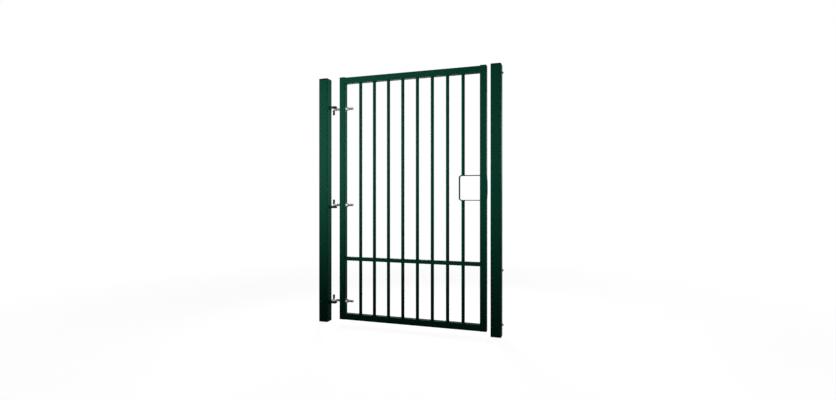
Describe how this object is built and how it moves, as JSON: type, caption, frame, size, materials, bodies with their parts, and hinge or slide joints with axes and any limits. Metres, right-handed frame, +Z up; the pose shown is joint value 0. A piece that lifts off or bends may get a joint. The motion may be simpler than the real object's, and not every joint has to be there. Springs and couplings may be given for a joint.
{
  "type": "single swing gate",
  "caption": "Flat-top swing gate of box tube and round vertical bars, hung on eye-bolt hinges between two square posts, with a hand recess at its lock stile.",
  "frame": {"origin": "centre of the hinge post's foot, at ground level", "axes": "+X along the gate from the hinge post to the lock post, +Y to the back, +Z up"},
  "size_m": [1.576, 0.08, 2.07],
  "materials": {
    "green_paint": "satin moss-green powder coat over galvanised steel",
    "black_plastic": "black moulded plastic, fine matt texture",
    "black_steel": "black coated forging",
    "zinc_steel": "bright zinc plate, turned and threaded",
    "fence_bolt_steel": "dull zinc plate"
  },
  "bodies": {
    "root": {"hinge_post": "green_paint", "hinge_post_cap": "black_plastic", "lock_post": "green_paint", "lock_post_cap": "black_plastic", "hinge_boss_low": "green_paint", "hinge_boss_mid": "green_paint", "hinge_boss_top": "green_paint", "hinge_pin_low": "black_steel", "hinge_pin_mid": "black_steel", "hinge_pin_top": "black_steel", "fence_bolts_hinge_side": "fence_bolt_steel", "fence_bolts_lock_side": "fence_bolt_steel"},
    "leaf": {"hinge_stile": "green_paint", "hinge_stile_cap": "black_plastic", "lock_stile": "green_paint", "lock_stile_cap": "black_plastic", "top_rail": "green_paint", "mid_rail": "green_paint", "bottom_rail": "green_paint", "bar_1": "green_paint", "bar_2": "green_paint", "bar_3": "green_paint", "bar_4": "green_paint", "bar_5": "green_paint", "bar_6": "green_paint", "bar_7": "green_paint", "bar_8_upper": "green_paint", "bar_8_lower": "green_paint", "lock_recess": "green_paint", "lock_face_plate": "green_paint", "lock_bolt_guide": "green_paint", "eye_bolt_low": "zinc_steel", "eye_bolt_mid": "zinc_steel", "eye_bolt_top": "zinc_steel", "hinge_washer_low": "zinc_steel", "hinge_washer_mid": "zinc_steel", "hinge_washer_top": "zinc_steel", "hinge_nut_low": "zinc_steel", "hinge_nut_mid": "zinc_steel", "hinge_nut_top": "zinc_steel"}
  },
  "joints": [
    {"name": "leaf_swing", "type": "hinge", "parent": "root", "child": "leaf", "pos_m": [0.0825, 0, 0.994], "axis": [0, 0, 1], "range_deg": [-120, 120]}
  ]
}
